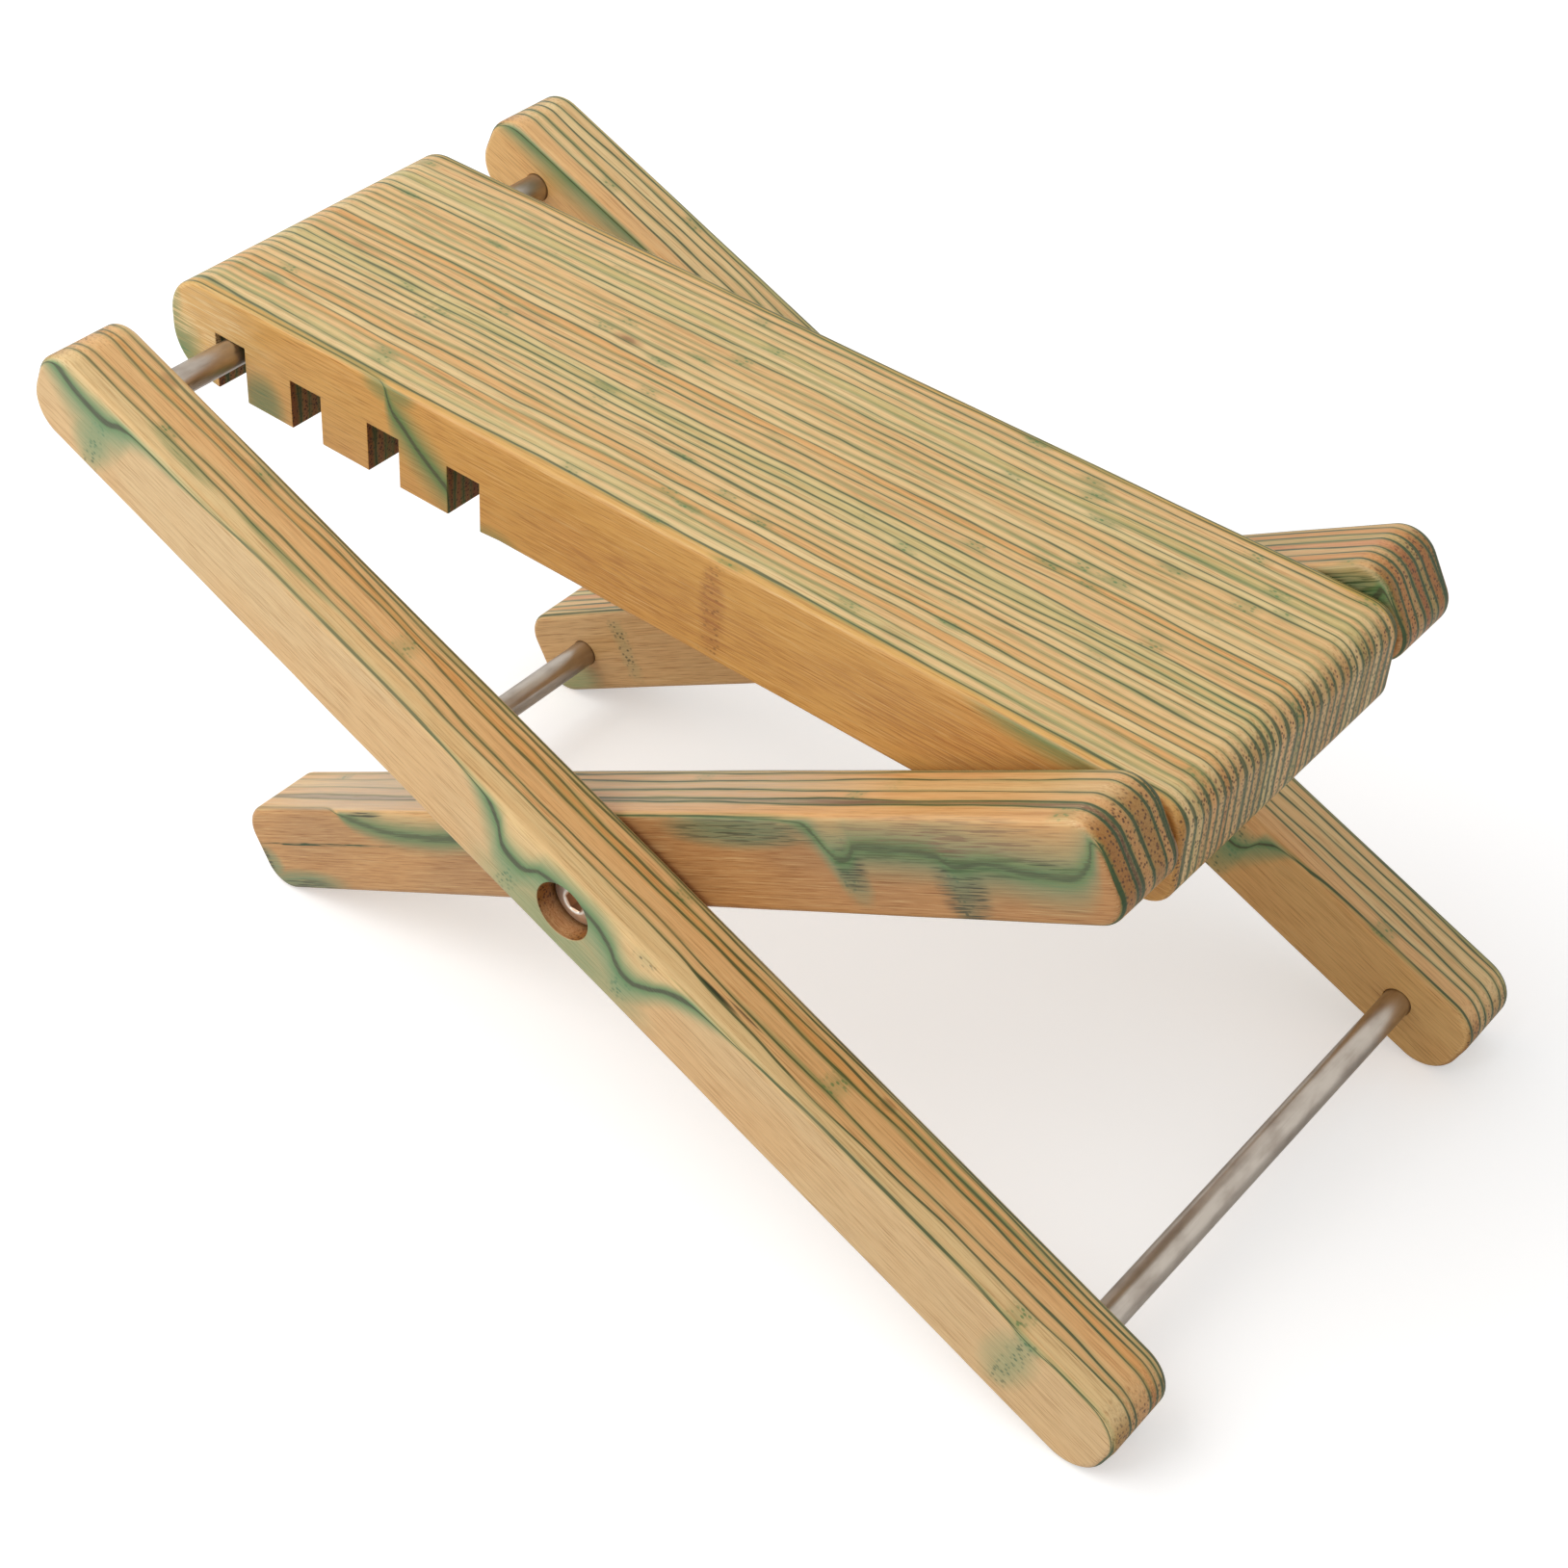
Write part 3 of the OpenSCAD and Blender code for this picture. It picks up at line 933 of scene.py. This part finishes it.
def face(line, spread, knots=(), spots=(), slope=0.062, rise=2, ragged=0.07, thread=1,
         dye=TEAL, knot_colour=TEAL, speck_colour=KNOT):
    """The description of one face of a board.

    line: the height at which the outermost ply thins out to nothing, drawn along the board (at
    34 it doesn't reach the face); spread: how far its dye shows; knots: speckled bands (x,
    middle z, half height); spots: more dye (x, z, half length, half height, share); slope: how
    steeply the ply thins out; rise: how much faster the dye fades above the line than below
    it; ragged: how rough the ply's edge is; thread: how dark the ink along the edge is; then
    the colours of the dye, the knots and their specks.
    """
    return {"line": line, "spread": spread, "knots": knots, "spots": spots, "slope": slope,
            "rise": rise, "ragged": ragged, "thread": thread, "dye": dye,
            "knot_colour": knot_colour, "speck_colour": speck_colour}


def quiet(low_x, high_x, knots):
    """A face where the outermost ply keeps its thickness, apart from one end."""
    line = [(low_x, 11), (low_x + 16, 9), (low_x + 40, 18), (low_x + 70, 34), (high_x, 34)]
    spread = [(low_x, 6), (low_x + 30, 9), (low_x + 60, 2), (high_x, 1)]
    return face(line, spread, knots)


outer_near_wood = leg_bamboo(
    "bamboo outer leg near", outer_place, (outer_low[1], outer_high[1]),
    [(-88.8, PALE), (-85.8, PEACH), (-79.4, PEACH), (-77, ORANGE), (-74.5, PEACH), (99, TAN)],
    near=face(
        [(-195, 11), (-190, 10.5), (-180, 8), (-172, 7.5), (-164, 11), (-156, 14), (-140, 15),
         (-128, 18), (-105, 30), (-70, 30), (-48, 22), (-33, 13.5), (-25, 7), (-20, 1),
         (-16, 0.5), (-10, 5), (-4, 6.5), (5, 7), (14, 4.5), (19, 0.5), (22, -0.5), (27, 2),
         (33, 8), (40, 12), (48, 15), (64, 22), (84, 32), (120, 32), (142, 20), (149, 16),
         (160, 20), (175, 14), (180, 11)],
        [(-195, 6), (-186, 10), (-176, 14), (-168, 17), (-160, 8), (-150, 5), (-120, 3),
         (-60, 2), (-45, 5), (-33, 8), (-26, 12), (-18, 16), (0, 18), (22, 16), (30, 10),
         (40, 6), (60, 5), (90, 2), (135, 2), (149, 9), (156, 3), (180, 3)],
        knots=((-171, -3, 9), (-17, -7, 4), (22, -5, 4), (24, 11, 2), (149, 3, 11)),
        spots=((-172, 1, 10, 15, 0.8), (2, -9, 36, 11, 0.75), (148, 2, 9, 14, 0.45))),
    far=quiet(-195, 180, ((-60, 3, 9), (84, -4, 8))),
    skin=paint(230, 196, 144), shade_falloff=(-120, 160, 0.16), faint=(170, -190, 0.3),
    flecks=(((41, -88.7, 10, 0.8), SOOT_AND_SHADOW, 1), ((50, -87.4, 7, 0.45), SOOT_AND_SHADOW, 0.8),
            ((88, -76.5, 3, 2), TOBACCO, 0.6), ((-168, -76, 4, 2), TOBACCO, 0.5),
            ((-148, -89.5, 16, 2.4), GLUE_GREEN, 0.5), ((-112, -89, 24, 1.8), GLUE_GREEN, 0.5),
            ((60, -86, 26, 1.6), GLUE_GREEN, 0.3)))

outer_far_wood = leg_bamboo(
    "bamboo outer leg far", outer_place, (-outer_high[1], -outer_low[1]),
    [(78.6, PEACH), (82.2, PALE), (85.8, TAN), (89.2, PALE), (92.4, TAN), (99, OLIVE)],
    near=face(
        [(-195, 11), (-180, 12), (-150, 12.5), (-130, 13.5), (-100, 22), (-70, 34), (70, 34),
         (86, 16), (93, 3), (98, 1), (104, 8), (109, 13), (116, 18), (135, 30), (180, 30)],
        [(-195, 5), (-150, 9), (-120, 4), (60, 2), (85, 8), (99, 15), (108, 10), (120, 3),
         (180, 3)],
        knots=((99, -2, 11),), slope=0.1),
    far=quiet(-195, 180, ((-90, 0, 10), (60, 5, 6))),
    skin=paint(234, 190, 122), shade_falloff=(-140, 100, 0.18))

inner_near_wood = leg_bamboo(
    "bamboo inner leg near", inner_place, (inner_low[1], inner_high[1]),
    [(-64.9, PEACH), (-62.9, UMBER), (-59, PEACH), (-54.2, TAN), (-50.7, PEACH), (99, TAN)],
    near=face(
        [(-161, 38), (-124, 38), (-116, 18), (-112, 11.5), (-107, 9.6), (-102, 8.2), (-94, 6.5),
         (-84, 5.5), (-75, 5), (-66, 5.2), (-40, 6), (-20, 12), (0, 20), (20, 20), (50, 18),
         (64, 13.5), (69, 9), (72, 4), (75, 2), (78, 3), (81, 5.5), (95, 5), (104, 4), (110, 1),
         (118, 2), (130, 0), (140, -1), (147, 2), (150, 7), (152, 12), (154, 15)],
        [(-161, 2), (-120, 2), (-108, 5), (-80, 6), (-40, 5), (0, 5), (20, 9), (50, 10),
         (66, 8), (75, 12), (84, 9), (100, 9), (110, 14), (120, 10), (135, 10), (147, 9),
         (154, 4)],
        knots=((75, 1, 7), (108, -5, 9)), rise=0.8, ragged=0.2, thread=0.75,
        dye=paint(116, 142, 106),
        spots=((-147, -11, 26, 5.5, 1), (-158, -6, 7, 9, 0.9), (-102, 10, 14, 4.5, 0.8),
               (44, 10, 30, 7, 0.9), (77, -3, 6, 9, 0.6))),
    far=quiet(-161, 154, ((-30, 2, 9), (96, -3, 9))),
    skin=paint(190, 144, 94), shade_falloff=(-90, 20, 0.35), faint=(-50, -110, 0.6),
    # The first touch, pale on the top corner of the upper end, is a painted highlight
    touches=(((145, 12.4, 7, 1), PALE, 0.5), ((44, 9.6, 26, 2.4), GLUE, 0.45),
             ((58, 6.8, 18, 1.6), GLUE, 0.4), ((46, 9, 34, 5), INK, 0.65),
             ((77, 0, 6, 8), INK, 0.9), ((109, -4, 9, 13), INK, 1.1),
             ((94, 4.5, 24, 4), INK, 0.7), ((128, 1, 24, 4), INK, 0.7),
             ((110, 8, 46, 7), UMBER, 0.6),
             ((-128, 2, 36, 0.6), GLUE, 1.6), ((-105, -13.2, 48, 0.7), INK, 1.2),
             ((-146, -12, 18, 3), INK, 0.8), ((-159, -4, 2.5, 9), INK, 0.7),
             ((-103, 11.8, 10, 0.9), INK, 1.2)),
    # These pale greyish flecks on top are painted reflection of the bright surroundings
    flecks=(((-100, -60, 70, 20), paint(212, 196, 174), 0.55),
            ((20, -58, 70, 14), paint(204, 192, 168), 0.4)))

inner_far_wood = leg_bamboo(
    "bamboo inner leg far", inner_place, (-inner_high[1], -inner_low[1]),
    [(51.4, TAN), (54.6, ORANGE), (57.8, TAN), (61.2, AMBER), (64.4, OLIVE), (67.8, ORANGE),
     (99, TAN)],
    near=face(
        [(-161, 30), (-100, 34), (0, 34), (90, 30), (112, 12), (128, 4), (140, 2), (154, 8)],
        [(-161, 8), (-120, 3), (80, 3), (110, 8), (130, 14), (154, 12)],
        knots=((-120, 0, 10), (126, -2, 9)),
        spots=((-150, -9, 16, 8, 0.7), (136, 4, 26, 12, 0.9))),
    far=quiet(-161, 154, ((-12, 4, 8), (70, -2, 9))),
    skin=paint(214, 172, 116), shade_falloff=(-120, 120, 0.5), touches=(((136, 6, 24, 8), GLUE, 0.7),))

plate_wood = plate_bamboo(
    "bamboo footplate", plate_place, (plate_low[1], plate_high[1]),
    [TAN, PALE, ORANGE, PALE, OLIVE, TAN, PEACH, PALE, ORANGE], pitch=2.96,
    near=face(
        [(-295, 34), (-240, 36), (-222, 34), (-214, 13.5), (-212, 8), (-208, 4.5), (-203, 0),
         (-196, -5), (-190, -9), (-182, -16), (-174, -34), (23, -36)],
        [(-295, 2), (-228, 2), (-216, 9), (-205, 11), (-190, 9), (-180, 6), (-170, 2), (23, 2)],
        knots=((-107, 0, 14),), knot_colour=TOBACCO, speck_colour=paint(104, 74, 44),
        dye=paint(94, 132, 84), rise=1.1,
        spots=((-293, -6, 13, 12, 1), (-294, 4, 5.5, 14, 1), (-286, -14, 9, 5, 1),
               (-260, -12, 10, 11, 0.9), (-213, 14, 11, 6, 0.8), (-14, 17, 26, 9, 0.9),
               (-177, -17, 12, 7, 0.6))),
    far=face([(-295, 34), (-100, 36), (23, 34)], [(-295, 2), (23, 2)],
             knots=((-180, 2, 12), (-40, -3, 10))),
    skin=paint(228, 178, 98), shade_falloff=(-285, -150, 0.4),
    marks=((-284, 40), (-275, 24), (-240, 21), (-164, 16), (-170, 8), (-173, -10), (-271, -31),
           (-224, -36), (-139, -20), (-79, 44), (-59, 40), (-54, 36), (-48, 28), (-25, 23),
           (-33, 10), (-48, 5), (-52, -29), (-125, -35), (-128, -44), (-104, -46)),
    # The first touch, pale near the nose, is painted light where the lamp falls on the nose
    touches=(((-280, 4, 30, 13), PALE, 0.65), ((-120, -4, 60, 12), TOBACCO, 0.5),
             ((-30, 0, 60, 12), TOBACCO, 0.5), ((-107, 1, 5, 14), TOBACCO, 1)),
    flecks=(((-183, 10, 3, 1.4), SOOT_AND_SHADOW, 0.6), ((-183, 10, 6, 2.6), TOBACCO, 0.6),
            ((-232.5, -10, 0.5, 11), PALE, 0.5), ((-229.5, -13, 0.4, 6), PALE, 0.4),
            ((-240, 36, 7, 3), TOBACCO, 0.2), ((-263, -4, 8, 3), TOBACCO, 0.2),
            ((-209, 1, 7, 3), TOBACCO, 0.2), ((-248, -16, 7, 3), TOBACCO, 0.2),
            ((-59, -40, 7, 3), TOBACCO, 0.2)))

# The boards

def outer_leg(name, node, inside, seed, material):
    """The board of an outer leg. The seed tells how its rims waver."""
    board(name, node, "outer_frame", outer_place,
          bar_outline(outer_low, outer_high, OUTER_END_R, OUTER_END_R),
          wavering(LEG_SOFT, seed), leg_bores(counterbored, outer_rods, inside), material)


def inner_leg(name, node, inside, seed, material):
    """The board of an inner leg, likewise."""
    board(name, node, "inner_frame", inner_place,
          bar_outline(inner_low, inner_high, INNER_END_R, INNER_END_R),
          wavering(LEG_SOFT, seed), leg_bores(insert_hole, inner_rods, inside), material)


board("footplate_board", "footplate", "footplate", plate_place,
      notched_outline(plate_low, plate_high, notch_rod.x), plate_soft, plate_bores, plate_wood)
outer_leg("outer_leg_board_near", "outer_leg_near", 1, 11, outer_near_wood)
outer_leg("outer_leg_board_far", "outer_leg_far", -1, 19, outer_far_wood)
inner_leg("inner_leg_board_near", "inner_leg_near", 1, 29, inner_near_wood)
inner_leg("inner_leg_board_far", "inner_leg_far", -1, 37, inner_far_wood)

# Steel: the bolts are made again with soft edges, and the other pieces keep the frame's meshes

rod_steel = steel("drawn steel", paint(192, 182, 170), paint(140, 126, 114), roughness=0.33,
                  grain=6)
bolt_steel = steel("bolt steel", paint(248, 242, 232), paint(228, 218, 206), roughness=0.42,
                   grain=0.7, socket_r=2.9)
zinc_steel = steel("zinc steel", paint(202, 198, 190), paint(168, 162, 150), roughness=0.36,
                   grain=2)
for nodes, material in (
        (("notch_rod", "outer_foot_rod", "inner_foot_rod", "hinge_rod"), rod_steel),
        (("threaded_insert_near", "threaded_insert_far", "leg_washer_near", "leg_washer_far",
          "hinge_washer_near", "hinge_washer_far"), zinc_steel)):
    for node in nodes:
        frame["nodes"][node].data.materials.clear()
        frame["nodes"][node].data.materials.append(material)

bolt("bolt_near", "pivot_bolt_near", "inner_frame", bolt_steel)
bolt("bolt_far", "pivot_bolt_far", "inner_frame", bolt_steel)


# Floor, light and camera

def pale_floor():
    """A plain floor that keeps the shadow. To the camera it glows a little, more far away."""
    half = FLOOR_SIZE / 2
    corners = [(x, y, -FLOOR_SINK)
               for x, y in ((-half, -half), (half, -half), (half, half), (-half, half))]
    mesh = bpy.data.meshes.new("floor")
    mesh.from_pydata(corners, [], [(0, 1, 2, 3)])
    floor = placed("floor", mesh)
    finish = Finish("pale floor")
    shader = finish.shader
    shader.inputs["Base Color"].default_value = FLOOR_GREY
    shader.inputs["Roughness"].default_value = 0.9
    shader.inputs["Specular IOR Level"].default_value = 0.1
    x, y, _ = finish.places(Matrix())
    outskirts = (x * x + y * y).root().fade(HORIZON[0] / MM, HORIZON[1] / MM)
    sight = finish.node("ShaderNodeLightPath")
    seen = finish.math("MULTIPLY", sight.outputs["Is Camera Ray"],
                       outskirts * HORIZON_GLOW + FLOOR_GLOW)
    shader.inputs["Emission Color"].default_value = WHITE
    finish.feed(shader.inputs["Emission Strength"], seen)
    mesh.materials.append(finish.material)


def studio_world():
    """Soft light from all round, seen as white by the camera and in metal."""
    world = bpy.data.worlds.new("studio")
    bpy.context.scene.world = world
    world.use_nodes = True
    nodes = world.node_tree.nodes
    links = world.node_tree.links
    sky = nodes["Background"]
    sky.inputs["Color"].default_value = WHITE
    sight = nodes.new("ShaderNodeLightPath")
    seen = sight.outputs["Is Camera Ray"]
    for ray in ("Is Glossy Ray", "Is Transmission Ray"):
        either = nodes.new("ShaderNodeMath")
        either.operation = "MAXIMUM"
        links.new(seen, either.inputs[0])
        links.new(sight.outputs[ray], either.inputs[1])
        seen = either.outputs[0]
    strength = nodes.new("ShaderNodeMapRange")
    strength.inputs["To Min"].default_value = AMBIENT
    strength.inputs["To Max"].default_value = 1
    links.new(seen, strength.inputs["Value"])
    links.new(strength.outputs["Result"], sky.inputs["Strength"])


def softbox(name, place, size, power):
    """A large square lamp that faces the middle of the footrest."""
    lamp = bpy.data.lights.new(name, "AREA")
    lamp.shape = "SQUARE"
    lamp.size = size
    lamp.energy = power
    holder = placed(name, lamp)
    holder.location = place
    holder.rotation_euler = (LIT_POINT - Vector(place)).to_track_quat("-Z", "Y").to_euler()


def photo_camera():
    """The camera at the photograph's angle."""
    data = bpy.data.cameras.new("camera")
    data.sensor_width = CAMERA_SENSOR
    data.lens = CAMERA_LENS
    data.shift_x, data.shift_y = CAMERA_SHIFT
    data.clip_start = 0.01
    azimuth = math.radians(CAMERA_AZIMUTH)
    elevation = math.radians(CAMERA_ELEVATION)
    away = Vector((math.sin(azimuth) * math.cos(elevation),
                   -math.cos(azimuth) * math.cos(elevation), math.sin(elevation)))
    camera = placed("camera", data)
    camera.location = CAMERA_PLACE
    camera.rotation_euler = (-away).to_track_quat("-Z", "Y").to_euler()
    bpy.context.scene.camera = camera


pale_floor()
studio_world()
softbox("key", KEY_PLACE, KEY_SIZE, KEY_POWER)
photo_camera()
bpy.context.scene.view_settings.view_transform = "Standard"
